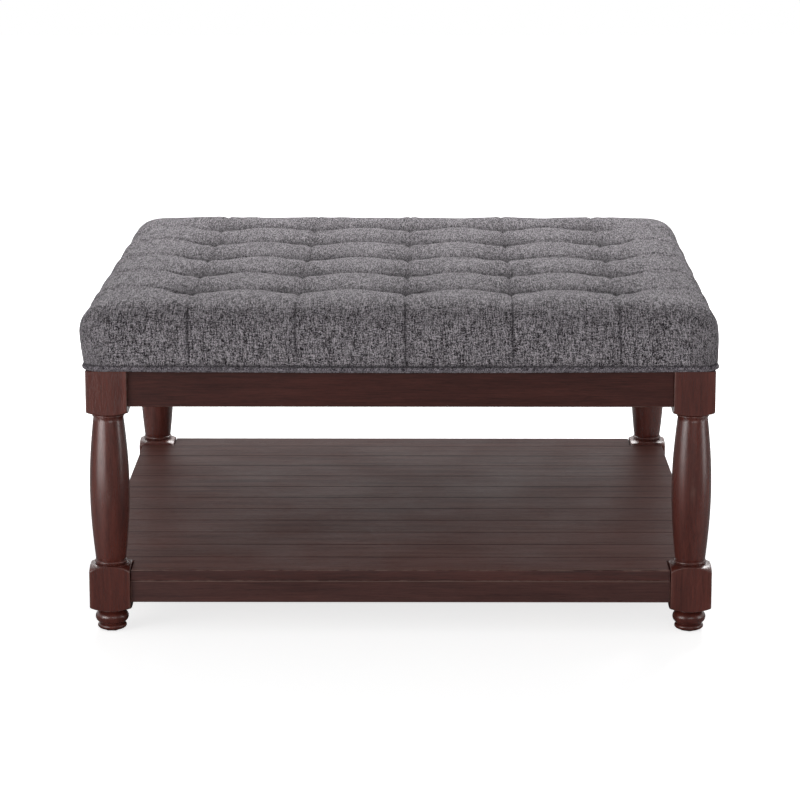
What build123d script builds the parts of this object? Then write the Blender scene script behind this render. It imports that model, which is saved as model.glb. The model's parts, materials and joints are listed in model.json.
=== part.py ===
from build123d import *
import math
import os

# Ottoman coffee table, in millimetres.
# The origin is on the floor under the middle of the table, with the front at -Y and +Z up.

# The frame as a whole
frame_width = 852.0            # across the legs' outer faces, left to right
frame_depth = 852.0            # across the legs' outer faces, front to back
frame_height = 367.5           # floor to the top of the legs, where the seat rests

# Clearances and cuts
fit_gap = 0.1                  # around dowels, bolts and screws
soft_gap = 0.3                 # around fabric, foam and piping
cut_over = 5.0                 # how far a cut runs past what it cuts
small_sides = 6                # small round pieces and their holes are prisms of this many sides
diagonal_share = math.sqrt(2)  # of a square's side, from corner to corner

# Turned legs
leg_block = 56.0               # side of the two square blocks
leg_ease = 1.2                 # bevel along the blocks' upright edges
top_block_height = 53.6        # square part of the block beside the aprons
lower_block_height = 47.8      # square part of the block beside the shelf
shoulder_height = 8.3          # turned shoulder between a block's corners and the neck
foot_height = 31.0             # floor to the shoulder under the lower block
neck_radius = 20.8             # at both ends of the barrel
ring_radius = 22.2             # ring beside each neck
ring_height = 4.8
barrel_radius = 27.2           # at the belly, half way up
foot_radius = 17.0             # where the foot meets the floor
disc_radius = 20.0             # low disc under the bun
disc_height = 8.4
waist_radius = 17.2            # between disc and bun
bun_radius = 22.8
cove_radius = 18.0             # over the bun

# Floor glides
glide_diameter = 24.0
glide_thickness = 1.5
glide_nail_diameter = 2.4
glide_nail_length = 14.0

# Aprons and shelf rails
rail_recess = 6.0              # how far the rails stand back from the legs' faces
rail_ease = 1.2                # eased lower edges
apron_thickness = 20.0
apron_height = 50.0
shelf_rail_thickness = 18.0
shelf_rail_height = 30.6
dowel_diameter = 8.0
dowel_depth = 15.0             # in the leg, and as much in the rail
apron_dowel_spread = 26.0      # between the two dowels of one joint

# Shelf
shelf_over_block = 2.4         # top of the boards over the top of the legs' lower blocks
board_thickness = 15.3
board_pitch = 71.0             # face width of one board
board_bevel = 1.4              # each side of a joint's V
board_leg_gap = 1.0            # between a notched board and a leg
tongue_thickness = 5.0
tongue_length = 6.0
tongue_gap = 0.3               # left at the groove's bottom and sides
batten_width = 42.0
batten_thickness = 14.0
batten_spread = 400.0          # between the middles of the two battens

# Corner plates and their hardware
plate_thickness = 2.5
plate_stand = 6.0              # between a leg's inner corner and the plate
plate_wing = 38.0
apron_plate_height = 38.0
shelf_plate_height = 24.0
bolt_diameter = 8.0
bolt_in_leg = 31.0
bolt_tail = 3.0                # past the nut
washer_diameter = 18.0
washer_thickness = 1.6
nut_flats = 13.0
nut_height = 6.5

# Wood screws
screw_diameter = 4.0
screw_head_diameter = 8.0
screw_head_height = 2.6
plate_screw_length = 15.0
cleat_screw_length = 32.0
seat_screw_length = 30.0

# Cleats that the seat is screwed to
cleat_size = 20.0
cleat_margin = 196.0           # from the legs' outer faces to a cleat's end
cleat_screw_inset = 60.0       # from a cleat's end
seat_screw_inset = 110.0       # from a cleat's end

# Seat cushion
seat_overhang = 6.0            # how far the piping stands out past the legs' faces
seat_thickness = 89.5          # frame to the crown of a tufted cell
cell_count_across = 6
cell_count_deep = 6
seam_depth = 2.5               # of a seam, half way between two tufts
tuft_depth = 10.0              # of a tuft
side_bulge = 2.0               # how far the sides stand out past the piping
side_pull = 2.5                # how far a seam pulls the sides in
base_inset = 5.0               # how far the sides draw in at the bottom
shoulder_radius = 47.0         # rounding between the sides and the top
edge_angle = 70.0              # where that rounding meets the top
edge_drop = 0.8                # of that place under the crown
edge_angle_over = 84.0         # where the crossways rounding has risen clear of the top
crest_share = 0.6              # where an outer cell is fullest, of its way to the edge
corner_radius = 45.0           # plan corners, taken on a square a little larger than the seat
corner_over = 5.0              # how much larger that square is, each side
welt_diameter = 7.5
welt_sides = 8
welt_corner_radius = 26.0
fabric = 1.5
return_overlap = 3.0           # of the cover's return past the cleats
parabola_share = 0.25          # inset of a bowed side at half its height

# Inside the seat
deck_margin = 12.0             # from the piping's outside to the plywood's edge
deck_thickness = 12.0
deck_corner_radius = 20.0
foam_margin = 24.3             # from the piping's outside to the foam's edge
wadding_thickness = 7.3        # between the foam and the bottom of a tuft
foam_corner_radius = 30.0
tie_diameter = 2.6
tie_hole_diameter = 7.0
tie_disc_diameter = 15.0
tie_disc_thickness = 1.2
dust_cover_thickness = 0.8
dust_cover_overlap = 2.5       # on the cover's return

# Sizes and places worked out from the sizes above
seat_width = frame_width + 2 * seat_overhang
seat_depth = frame_depth + 2 * seat_overhang
seat_top = frame_height + seat_thickness
bulge_height = seat_thickness - edge_drop - shoulder_radius * math.sin(math.radians(edge_angle))
shelf_height = foot_height + shoulder_height + lower_block_height + shelf_over_block
deck_low = frame_height + fabric
deck_high = deck_low + deck_thickness
foam_high = seat_top - tuft_depth - wadding_thickness
foam_thickness = foam_high - deck_high
shelf_rail_top = shelf_height - board_thickness
shelf_rail_middle = shelf_rail_top - shelf_rail_height / 2
apron_middle = frame_height - apron_height / 2

# Corners by name, with the turn that brings the front left one there and their signs in X and Y
corners = [
    ("front_left", 0, -1, -1),
    ("front_right", 90, 1, -1),
    ("rear_right", 180, 1, 1),
    ("rear_left", 270, -1, 1),
]

# Sides by name, with the turn from the front, the frame's size along the side and out to it
sides = [
    ("front", 0, frame_width, frame_depth),
    ("right", 90, frame_depth, frame_width),
    ("rear", 180, frame_width, frame_depth),
    ("left", 270, frame_depth, frame_width),
]


def outline(start, steps):
    # Closed face. A step of one point is a straight line, and a step of two an arc through the first
    edges = []
    here = start
    for step in steps:
        there = step[-1]
        if len(step) == 1:
            edges.append(Line(here, there))
        else:
            edges.append(ThreePointArc(here, step[0], there))
        here = there
    return make_face(Curve() + edges)


def block(low, high):
    # Upright block between two opposite corners
    size = [b - a for a, b in zip(low, high)]
    middle = [(a + b) / 2 for a, b in zip(low, high)]
    return Pos(*middle) * Box(*size)


def rod(start, direction, length, diameter):
    # Small bar from a point, along a direction
    return Plane(origin=start, z_dir=direction) * extrude(RegularPolygon(diameter / 2, small_sides), length)


def corner_place(turn, sign_x, sign_y):
    # Place of a leg's axis, turned so that its inner faces look at the table's middle
    x = sign_x * (frame_width - leg_block) / 2
    y = sign_y * (frame_depth - leg_block) / 2
    return Pos(x, y, 0) * Rot(0, 0, turn)


def at_corners(pieces):
    # Pieces of the front left corner, given from its leg's axis, repeated at all four
    return [corner_place(turn, sx, sy) * piece for name, turn, sx, sy in corners for piece in pieces]


def write(node, pieces):
    shapes = pieces if isinstance(pieces, list) else [pieces]
    solids = [solid for shape in shapes for solid in shape.solids()]
    shape = solids[0] if len(solids) == 1 else Compound(children=solids)
    shape.label = node
    export_step(shape, f"parts/{node}.step")


# Legs

def ring_steps(low, high):
    # Ring between two heights, fullest half way
    return [[(ring_radius, (low + high) / 2)], [(neck_radius, high)]]


def turned_outline():
    corner = leg_block / diagonal_share
    block_low = foot_height + shoulder_height
    block_high = block_low + lower_block_height
    neck_low = block_high + shoulder_height
    top_low = frame_height - top_block_height
    neck_high = top_low - shoulder_height
    disc_low = glide_thickness
    disc_top = disc_low + disc_height
    barrel_low = neck_low + ring_height
    barrel_high = neck_high - ring_height
    steps = [
        [(foot_radius, disc_low)],
        [(disc_radius, (disc_low + disc_top) / 2)],
        [(waist_radius, disc_top)],
        [(bun_radius, (disc_top + foot_height) / 2), (cove_radius, foot_height)],
        [(corner, block_low)],
        [(leg_block, block_low)],
        [(leg_block, block_high)],
        [(corner, block_high)],
        [(neck_radius, neck_low)],
    ]
    steps += ring_steps(neck_low, barrel_low)
    steps += [[(barrel_radius, (barrel_low + barrel_high) / 2), (neck_radius, barrel_high)]]
    steps += ring_steps(barrel_high, neck_high)
    steps += [
        [(corner, top_low)],
        [(leg_block, top_low)],
        [(leg_block, frame_height)],
        [(0, frame_height)],
        [(0, disc_low)],
    ]
    return outline((0, disc_low), steps)


def turned_leg():
    # Turned from a square blank, so the blocks keep its flats and the shoulders run out on them
    turned = revolve(Plane.XZ * turned_outline(), axis=Axis.Z)
    square = Rectangle(leg_block, leg_block)
    blank = extrude(chamfer(square.vertices(), leg_ease), frame_height)
    return turned & blank


def glide():
    # Nylon disc under the foot, with its nail
    disc = rod((0, 0, 0), (0, 0, 1), glide_thickness, glide_diameter)
    return disc + glide_nail(0)


def glide_nail(gap):
    length = glide_nail_length + gap
    return rod((0, 0, glide_thickness), (0, 0, 1), length, glide_nail_diameter + 2 * gap)


# Joints and hardware of the front left corner, given from its leg's axis

def rail_offset(thickness):
    # From the leg's axis out to the middle of a rail
    return leg_block / 2 - rail_recess - thickness / 2


def dowels(gap):
    # Two dowels in each apron joint and one in each shelf rail joint
    spots = []
    for shift in (-apron_dowel_spread / 2, apron_dowel_spread / 2):
        spots.append((rail_offset(apron_thickness), apron_middle + shift))
    spots.append((rail_offset(shelf_rail_thickness), shelf_rail_middle))
    start = leg_block / 2 - dowel_depth - gap
    length = 2 * (dowel_depth + gap)
    size = dowel_diameter + 2 * gap
    pieces = []
    for offset, height in spots:
        pieces.append(rod((start, -offset, height), (1, 0, 0), length, size))
        pieces.append(rod((-offset, start, height), (0, 1, 0), length, size))
    return pieces


def plate_corner(thickness):
    # Where a plate's slanting part meets a rail, along that rail
    inner_face = leg_block / 2 - rail_recess - thickness
    return leg_block + plate_stand * diagonal_share + inner_face


def corner_plate(thickness, middle, height):
    # Steel strip bent across the corner, its wings flat on the inner faces of two rails
    face = -(leg_block / 2 - rail_recess - thickness)
    bend = plate_corner(thickness)
    inner_bend = bend + plate_thickness * (diagonal_share - 1)
    end = bend + plate_wing
    inner_face = face + plate_thickness
    strip = outline((end, face), [
        [(bend, face)],
        [(face, bend)],
        [(face, end)],
        [(inner_face, end)],
        [(inner_face, inner_bend)],
        [(inner_bend, inner_face)],
        [(end, inner_face)],
        [(end, face)],
    ])
    plate = Pos(0, 0, middle - height / 2) * extrude(strip, height)
    return plate - bolts(fit_gap) - plate_screws(fit_gap)


def diagonal(distance, height):
    # Point on the line from the leg's axis to the table's middle
    reach = distance / diagonal_share
    return (reach, reach, height)


def bolt_heights():
    return (apron_middle, shelf_rail_middle)


def plate_face_distance():
    # From the leg's axis to the plate's inner face, along the diagonal
    return leg_block / diagonal_share + plate_stand + plate_thickness


def bolts(gap):
    corner = leg_block / diagonal_share
    end = plate_face_distance() + washer_thickness + nut_height + bolt_tail
    start = corner - bolt_in_leg - gap
    size = bolt_diameter + 2 * gap
    return [rod(diagonal(start, h), (1, 1, 0), end - start, size) for h in bolt_heights()]


def washers():
    start = plate_face_distance()
    rings = [rod(diagonal(start, h), (1, 1, 0), washer_thickness, washer_diameter)
             for h in bolt_heights()]
    return [ring - bolts(fit_gap) for ring in rings]


def nuts():
    start = plate_face_distance() + washer_thickness
    hexagon = RegularPolygon(nut_flats / 2, 6, major_radius=False)
    blanks = [Plane(origin=diagonal(start, h), z_dir=(1, 1, 0)) * extrude(hexagon, nut_height)
              for h in bolt_heights()]
    return [blank - bolts(fit_gap) for blank in blanks]


def screw(head, direction, length, gap):
    # Pan head screw. The head sits on the point given, and the shank runs along the direction
    back = [-d for d in direction]
    shank = rod(head, direction, length + gap, screw_diameter + 2 * gap)
    cap = rod(head, back, screw_head_height, screw_head_diameter + 2 * gap)
    return cap + shank


def plate_screws(gap):
    pieces = []
    for thickness, height in ((apron_thickness, apron_middle), (shelf_rail_thickness, shelf_rail_middle)):
        seat = -(leg_block / 2 - rail_recess - thickness) + plate_thickness
        along = plate_corner(thickness) + plate_wing / 2
        pieces.append(screw((along, seat, height), (0, -1, 0), plate_screw_length, gap))
        pieces.append(screw((seat, along, height), (-1, 0, 0), plate_screw_length, gap))
    return pieces


# Rails and cleats along one side, built at the front

def rail(across, out, thickness, low, high):
    half = across / 2 - leg_block
    face = -(out / 2 - rail_recess)
    bar = block((-half, face, low), (half, face + thickness, high))
    lower_edges = bar.edges().filter_by(Axis.X).group_by(Axis.Z)[0]
    return chamfer(lower_edges, rail_ease)


def cleat(across, out):
    face = -(out / 2 - rail_recess - apron_thickness)
    half = across / 2 - cleat_margin
    return block((-half, face, frame_height - cleat_size), (half, face + cleat_size, frame_height))


def cleat_screws(across, out, gap):
    # Through the cleat into the apron
    face = -(out / 2 - rail_recess - apron_thickness)
    height = frame_height - cleat_size / 2
    half = across / 2 - cleat_margin - cleat_screw_inset
    return [screw((x, face + cleat_size, height), (0, -1, 0), cleat_screw_length, gap)
            for x in (-half, half)]


def seat_screws(across, out, gap):
    # Up through the cleat and the cover's return into the seat's plywood
    face = -(out / 2 - rail_recess - apron_thickness)
    low = frame_height - cleat_size
    half = across / 2 - cleat_margin - seat_screw_inset
    return [screw((x, face + cleat_size / 2, low), (0, 0, 1), seat_screw_length, gap)
            for x in (-half, half)]


# Shelf

def board_outline(front, width, first, last):
    # End view of a board, with its groove at the front and its tongue at the back
    low = shelf_rail_top
    high = shelf_height
    back = front + width
    middle = (low + high) / 2
    tongue = tongue_thickness / 2
    groove = tongue + tongue_gap
    depth = tongue_length + tongue_gap
    steps = [[(back, low)]]
    if not last:
        steps += [[(back, middle - tongue)], [(back + tongue_length, middle - tongue)],
                  [(back + tongue_length, middle + tongue)], [(back, middle + tongue)]]
    steps += [[(back, high - board_bevel)], [(back - board_bevel, high)]]
    steps += [[(front + board_bevel, high)], [(front, high - board_bevel)]]
    if not first:
        steps += [[(front, middle + groove)], [(front + depth, middle + groove)],
                  [(front + depth, middle - groove)], [(front, middle - groove)]]
    steps += [[(front, low)]]
    return outline((front, low), steps)


def leg_notches():
    # Room for the legs' lower blocks in the boards
    side = leg_block + 2 * board_leg_gap
    low = shelf_rail_top - cut_over
    high = shelf_height + cut_over
    return at_corners([block((-side / 2, -side / 2, low), (side / 2, side / 2, high))])


def shelf_boards():
    # Full boards from the front, and one that takes up what is left at the back
    width = frame_width - 2 * rail_recess
    depth = frame_depth - 2 * rail_recess
    count = math.ceil(depth / board_pitch)
    notches = leg_notches()
    boards = []
    for i in range(count):
        front = -depth / 2 + i * board_pitch
        face = min(board_pitch, depth / 2 - front)
        end_view = board_outline(front, face, i == 0, i == count - 1)
        plane = Plane(origin=(-width / 2, 0, 0), x_dir=(0, 1, 0), z_dir=(1, 0, 0))
        board = extrude(plane * end_view, width)
        if i == 0 or i >= count - 2:
            board = board - notches
        boards.append(board)
    return boards


def batten(x):
    inner = frame_depth / 2 - rail_recess - shelf_rail_thickness
    low = (x - batten_width / 2, -inner, shelf_rail_top - batten_thickness)
    return block(low, (x + batten_width / 2, inner, shelf_rail_top))


# Seat

def seam_lines(length, cells):
    pitch = length / cells
    return [pitch * (i - cells / 2) for i in range(1, cells)]


def tufts():
    columns = seam_lines(seat_width, cell_count_across)
    return [(x, y) for y in seam_lines(seat_depth, cell_count_deep) for x in columns]


def side_points(length, fullness, angle):
    # Right side of an upright section: base, bow, fullest point, rounding, and where the rounding stops
    pull = side_pull * (1 - fullness)
    half = length / 2 + side_bulge - pull
    radius = shoulder_radius - pull
    base = length / 2 - base_inset
    waist = frame_height + bulge_height
    bow = (half - parabola_share * (half - base), frame_height + bulge_height / 2)
    points = [(base, frame_height), bow, (half, waist)]
    for turn in (angle / 2, angle):
        t = math.radians(turn)
        points.append((half - radius + radius * math.cos(t), waist + radius * math.sin(t)))
    return points


def mirrored(point):
    return (-point[0], point[1])


def tufted_section(length, cells, fullness):
    # Whole section with its tufted top. Fullness is 1 through the crown of a row and 0 along a seam
    base, bow, waist, round_via, edge = side_points(length, fullness, edge_angle)
    crown = seat_top - seam_depth * (1 - fullness)
    dip = seat_top - seam_depth * fullness - tuft_depth * (1 - fullness)
    steps = [[bow, waist], [round_via, edge]]
    here = edge[0]
    for x in reversed(seam_lines(length, cells)):
        steps.append([((here + x) / 2, crown), (x, dip)])
        here = x
    steps.append([((here - edge[0]) / 2, crown), mirrored(edge)])
    steps.append([mirrored(round_via), mirrored(waist)])
    steps.append([mirrored(bow), mirrored(base)])
    steps.append([base])
    return outline(base, steps)


def crossways_section(length, cells, fullness):
    # Section that shapes only the two sides, and rises clear of the top
    base, bow, waist, round_via, edge = side_points(length, fullness, edge_angle_over)
    high = seat_top + cut_over
    return outline(base, [
        [bow, waist],
        [round_via, edge],
        [(edge[0], high)],
        [(-edge[0], high)],
        [mirrored(edge)],
        [mirrored(round_via), mirrored(waist)],
        [mirrored(bow), mirrored(base)],
        [base],
    ])


def stations(length, cells):
    # For each row of cells three places across it, each with how full the cushion is there
    lines = seam_lines(length, cells)
    edge = length / 2 + side_bulge + corner_over
    crest = lines[-1] + crest_share * (edge - lines[-1])
    edge_fullness = 1 - ((1 - crest_share) / crest_share) ** 2
    rows = [[(-edge, edge_fullness), (-crest, 1), (lines[0], 0)]]
    for low, high in zip(lines, lines[1:]):
        rows.append([(low, 0), ((low + high) / 2, 1), (high, 0)])
    rows.append([(lines[-1], 0), (crest, 1), (edge, edge_fullness)])
    return rows


def rows_of_cells(section, length, cells, along_length, along_cells, plane_at):
    # One loft for each row of cells, joined along the seams
    body = None
    for row in stations(along_length, along_cells):
        faces = [plane_at(place) * section(length, cells, fullness) for place, fullness in row]
        strip = loft(faces)
        body = strip if body is None else body + strip
    return body


def plan(margin, radius):
    # Plan of the seat, drawn in from the piping's outside
    return RectangleRounded(seat_width - 2 * margin, seat_depth - 2 * margin, radius)


def cushion_form():
    # The tufted rows run front to back, and the crossways rows shape the left and right sides
    def across(place):
        return Plane(origin=(place, 0, 0), x_dir=(0, 1, 0), z_dir=(1, 0, 0))

    def along(place):
        return Plane(origin=(0, place, 0), x_dir=(1, 0, 0), z_dir=(0, -1, 0))

    wide = (seat_width, cell_count_across)
    deep = (seat_depth, cell_count_deep)
    top = rows_of_cells(tufted_section, *deep, *wide, across)
    ends = rows_of_cells(crossways_section, *wide, *deep, along)
    height = seat_top - frame_height + 2 * cut_over
    outer = plan(-side_bulge - corner_over, corner_radius)
    rounded = Pos(0, 0, frame_height - cut_over) * extrude(outer, height)
    return top & ends & rounded


def slab(margin, radius, low, high):
    return Pos(0, 0, low) * extrude(plan(margin, radius), high - low)


def return_half(size):
    # From the middle out to the inner edge of the cover's return under the plywood
    return size / 2 - rail_recess - apron_thickness - cleat_size - return_overlap


def seat_cover(form):
    # Fabric quilted on its wadding: the tufted form, less the room for foam, plywood and piping
    foam_room = slab(foam_margin - soft_gap, foam_corner_radius, deck_high, foam_high + soft_gap)
    deck_room = slab(deck_margin - soft_gap, deck_corner_radius, deck_low, deck_high)
    step_high = frame_height + welt_diameter + 2 * soft_gap
    step_out = slab(-side_bulge - corner_over - cut_over, corner_radius, frame_height - cut_over, step_high)
    step_radius = welt_corner_radius - welt_diameter / 2 - soft_gap
    step_in = slab(welt_diameter + soft_gap, step_radius, frame_height, step_high)
    half_x = return_half(frame_width)
    half_y = return_half(frame_depth)
    window = block((-half_x, -half_y, frame_height - cut_over), (half_x, half_y, deck_low))
    cover = form - (step_out - step_in) - foam_room - deck_room - window
    return cover - side_pieces(seat_screws, fit_gap)


def side_pieces(make, gap):
    # Pieces along all four sides
    return [Rot(0, 0, turn) * piece
            for name, turn, across, out in sides for piece in make(across, out, gap)]


def seat_welt():
    # Piping round the bottom edge, closed on itself
    middle = frame_height + soft_gap + welt_diameter / 2
    inset = welt_diameter / 2
    loop = RectangleRounded(seat_width - welt_diameter, seat_depth - welt_diameter, welt_corner_radius)
    path = Pos(0, 0, middle) * loop.wire()
    start = Plane(origin=(0, -seat_depth / 2 + inset, middle), z_dir=(1, 0, 0))
    return sweep(start * RegularPolygon(welt_diameter / 2, welt_sides), path)


def deck_panel():
    panel = slab(deck_margin, deck_corner_radius, deck_low, deck_high)
    holes = [rod((x, y, deck_low), (0, 0, 1), deck_thickness, tie_hole_diameter) for x, y in tufts()]
    return panel - holes - side_pieces(seat_screws, fit_gap)


def foam_slab():
    foam = slab(foam_margin, foam_corner_radius, deck_high, foam_high)
    return foam - [rod((x, y, deck_high), (0, 0, 1), foam_thickness, tie_hole_diameter) for x, y in tufts()]


def tuft_ties():
    length = foam_high + soft_gap - deck_low
    return [rod((x, y, deck_low), (0, 0, 1), length, tie_diameter) for x, y in tufts()]


def tie_discs():
    low = deck_low - tie_disc_thickness
    return [rod((x, y, low), (0, 0, 1), tie_disc_thickness, tie_disc_diameter) for x, y in tufts()]


def dust_cover():
    half_x = return_half(frame_width) + dust_cover_overlap
    half_y = return_half(frame_depth) + dust_cover_overlap
    sheet = block((-half_x, -half_y, frame_height - dust_cover_thickness), (half_x, half_y, frame_height))
    side = leg_block + 2 * soft_gap
    leg_room = block((-side / 2, -side / 2, frame_height - cut_over), (side / 2, side / 2, frame_height))
    return sheet - at_corners([leg_room])


def main():
    os.makedirs("parts", exist_ok=True)
    all_dowel_holes = at_corners(dowels(fit_gap))
    all_bolt_holes = at_corners(bolts(fit_gap))
    all_plate_screw_holes = at_corners(plate_screws(fit_gap))

    leg = turned_leg() - glide_nail(fit_gap) - dowels(fit_gap) - bolts(fit_gap)
    for name, turn, sign_x, sign_y in corners:
        place = corner_place(turn, sign_x, sign_y)
        write(f"leg_{name}", place * leg)
        apron_plate = corner_plate(apron_thickness, apron_middle, apron_plate_height)
        shelf_plate = corner_plate(shelf_rail_thickness, shelf_rail_middle, shelf_plate_height)
        write(f"apron_plate_{name}", place * apron_plate)
        write(f"shelf_plate_{name}", place * shelf_plate)

    for name, turn, across, out in sides:
        turned = Rot(0, 0, turn)
        apron = turned * rail(across, out, apron_thickness, frame_height - apron_height, frame_height)
        low = shelf_rail_top - shelf_rail_height
        shelf_rail = turned * rail(across, out, shelf_rail_thickness, low, shelf_rail_top)
        apron = apron - all_dowel_holes - all_plate_screw_holes - side_pieces(cleat_screws, fit_gap)
        write(f"apron_{name}", apron)
        write(f"shelf_rail_{name}", shelf_rail - all_dowel_holes - all_plate_screw_holes)
        bar = turned * cleat(across, out)
        bar = bar - side_pieces(cleat_screws, fit_gap) - side_pieces(seat_screws, fit_gap)
        write(f"seat_cleat_{name}", bar)

    write("floor_glides", at_corners([glide()]))
    write("rail_dowels", at_corners(dowels(0)))
    write("hanger_bolts", at_corners(bolts(0)))
    write("hanger_washers", at_corners(washers()))
    write("hanger_nuts", at_corners(nuts()))
    write("plate_screws", at_corners(plate_screws(0)))
    write("cleat_screws", side_pieces(cleat_screws, 0))
    write("seat_screws", side_pieces(seat_screws, 0))

    for i, board in enumerate(shelf_boards()):
        write(f"shelf_board_{i + 1:02d}", board)
    write("shelf_batten_left", batten(-batten_spread / 2))
    write("shelf_batten_right", batten(batten_spread / 2))

    write("seat_cover", seat_cover(cushion_form()))
    write("seat_welt", seat_welt())
    write("deck_panel", deck_panel())
    write("foam_slab", foam_slab())
    write("tuft_ties", tuft_ties())
    write("tie_discs", tie_discs())
    write("dust_cover", dust_cover())


main()
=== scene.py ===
import json
import math

import bmesh
import bpy
import numpy as np
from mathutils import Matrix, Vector

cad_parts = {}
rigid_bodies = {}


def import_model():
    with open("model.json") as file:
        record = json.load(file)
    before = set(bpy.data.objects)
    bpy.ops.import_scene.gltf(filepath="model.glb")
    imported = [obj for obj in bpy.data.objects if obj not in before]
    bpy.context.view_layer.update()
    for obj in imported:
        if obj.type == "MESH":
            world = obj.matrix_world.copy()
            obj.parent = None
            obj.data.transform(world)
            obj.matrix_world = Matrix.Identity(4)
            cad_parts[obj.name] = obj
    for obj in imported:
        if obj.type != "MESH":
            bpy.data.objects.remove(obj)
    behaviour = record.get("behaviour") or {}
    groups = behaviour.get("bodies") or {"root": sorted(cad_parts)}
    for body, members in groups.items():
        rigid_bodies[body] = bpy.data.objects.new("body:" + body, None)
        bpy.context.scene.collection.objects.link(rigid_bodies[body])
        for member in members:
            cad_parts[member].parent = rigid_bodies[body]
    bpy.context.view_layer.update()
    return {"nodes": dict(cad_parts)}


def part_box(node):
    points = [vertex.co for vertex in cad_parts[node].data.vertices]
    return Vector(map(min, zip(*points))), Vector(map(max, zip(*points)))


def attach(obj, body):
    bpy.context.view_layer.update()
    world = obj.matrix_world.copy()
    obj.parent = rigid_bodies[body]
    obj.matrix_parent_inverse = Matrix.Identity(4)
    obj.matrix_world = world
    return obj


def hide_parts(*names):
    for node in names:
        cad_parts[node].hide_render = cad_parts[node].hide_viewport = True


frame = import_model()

# Ottoman coffee table: tufted cushion on turned legs, with a boarded shelf. The front is at -Y. Sizes of
# the pieces are in mm, those of the studio in metres
mm = 0.001
scene = bpy.context.scene
corners = {"front_left": (-1, -1), "front_right": (1, -1), "rear_right": (1, 1), "rear_left": (-1, 1)}


# Shader building

def setSockets(tree, node, values):
    for key, value in values.items():
        if isinstance(value, bpy.types.NodeSocket):
            tree.links.new(value, node.inputs[key])
        else:
            node.inputs[key].default_value = value
    return node


def addNode(tree, kind, values=None, **settings):
    node = tree.nodes.new("ShaderNode" + kind)
    for name, value in settings.items():
        setattr(node, name, value)
    return setSockets(tree, node, values or {})


def doMath(tree, operation, a, b=0.0, clamp=False):
    return addNode(tree, "Math", {0: a, 1: b}, operation=operation, use_clamp=clamp).outputs[0]


def times(tree, a, b, clamp=False):
    return doMath(tree, "MULTIPLY", a, b, clamp)


def plus(tree, a, b):
    return doMath(tree, "ADD", a, b)


def remap(tree, value, low, high, newLow=0.0, newHigh=1.0):
    values = {"Value": value, "From Min": low, "From Max": high, "To Min": newLow, "To Max": newHigh}
    return addNode(tree, "MapRange", values).outputs["Result"]


def mixColor(tree, factor, a, b):
    return addNode(tree, "Mix", {0: factor, 6: a, 7: b}, data_type="RGBA").outputs[2]


def mixValue(tree, factor, a, b):
    return addNode(tree, "Mix", {0: factor, 2: a, 3: b}, data_type="FLOAT").outputs[0]


def noise(tree, vector, scale=1.0, detail=3.0, roughness=0.5):
    values = {"Vector": vector, "Scale": scale, "Detail": detail, "Roughness": roughness}
    return addNode(tree, "TexNoise", values).outputs["Fac"]


def stretch(tree, vector, x, y, z):
    return addNode(tree, "VectorMath", {0: vector, 1: (x, y, z)}, operation="MULTIPLY").outputs[0]


def newGroup(name, inputs, outputs):
    # Node group with its sockets, each given by name and kind. Whoever places the group sets every input
    group = bpy.data.node_groups.new(name, "ShaderNodeTree")
    for way, sockets in (("INPUT", inputs), ("OUTPUT", outputs)):
        for socketName, kind in sockets.items():
            group.interface.new_socket(socketName, in_out=way, socket_type="NodeSocket" + kind)
    return group, group.nodes.new("NodeGroupInput"), group.nodes.new("NodeGroupOutput")


def placeGroup(tree, group, values):
    return addNode(tree, "Group", values, node_tree=group)


def newMaterial(name, **sockets):
    # A material with its Principled shader, and the shader's plain sockets set by name
    material = bpy.data.materials.new(name)
    material.use_nodes = True
    tree = material.node_tree
    shader = tree.nodes["Principled BSDF"]
    return material, tree, setSockets(tree, shader, sockets)


def rgb(r, g, b):
    # Colour as seen on a screen, 0 to 255, to linear
    def linear(c):
        c = c / 255
        return c / 12.92 if c <= 0.04045 else ((c + 0.055) / 1.055) ** 2.4
    return (linear(r), linear(g), linear(b), 1.0)


def makeGrainGroup():
    # Close wood grain that runs along the coordinate's X
    inputs = {"Coordinate": "Vector", "Figure": "Float", "Pores": "Float"}
    group, given, made = newGroup("woodGrain", inputs, {"Tone": "Float", "Height": "Float"})
    at = given.outputs["Coordinate"]
    bend = noise(group, stretch(group, at, 3.0, 9.0, 9.0), 1.0, 2.0)
    push = addNode(group, "CombineXYZ", {"Y": times(group, bend, 0.012)}).outputs[0]
    bent = addNode(group, "VectorMath", {0: at, 1: push}, operation="ADD").outputs[0]
    broad = noise(group, stretch(group, bent, 5.0, 70.0, 70.0), 1.0, 4.0, 0.6)
    fine = noise(group, stretch(group, bent, 22.0, 620.0, 620.0), 1.0, 3.0, 0.65)
    pores = noise(group, stretch(group, bent, 90.0, 1500.0, 1500.0), 1.0, 1.0)
    broadTone = times(group, remap(group, broad, 0.3, 0.7), given.outputs["Figure"])
    fineTone = times(group, remap(group, fine, 0.3, 0.7), 0.55)
    poreTone = times(group, remap(group, pores, 0.52, 0.66), given.outputs["Pores"])
    tone = plus(group, times(group, broadTone, 0.6), fineTone)
    tone = doMath(group, "SUBTRACT", tone, times(group, poreTone, 0.25), True)
    height = doMath(group, "SUBTRACT", times(group, fineTone, 0.5), poreTone)
    setSockets(group, made, {"Tone": tone, "Height": height})
    return group


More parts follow.
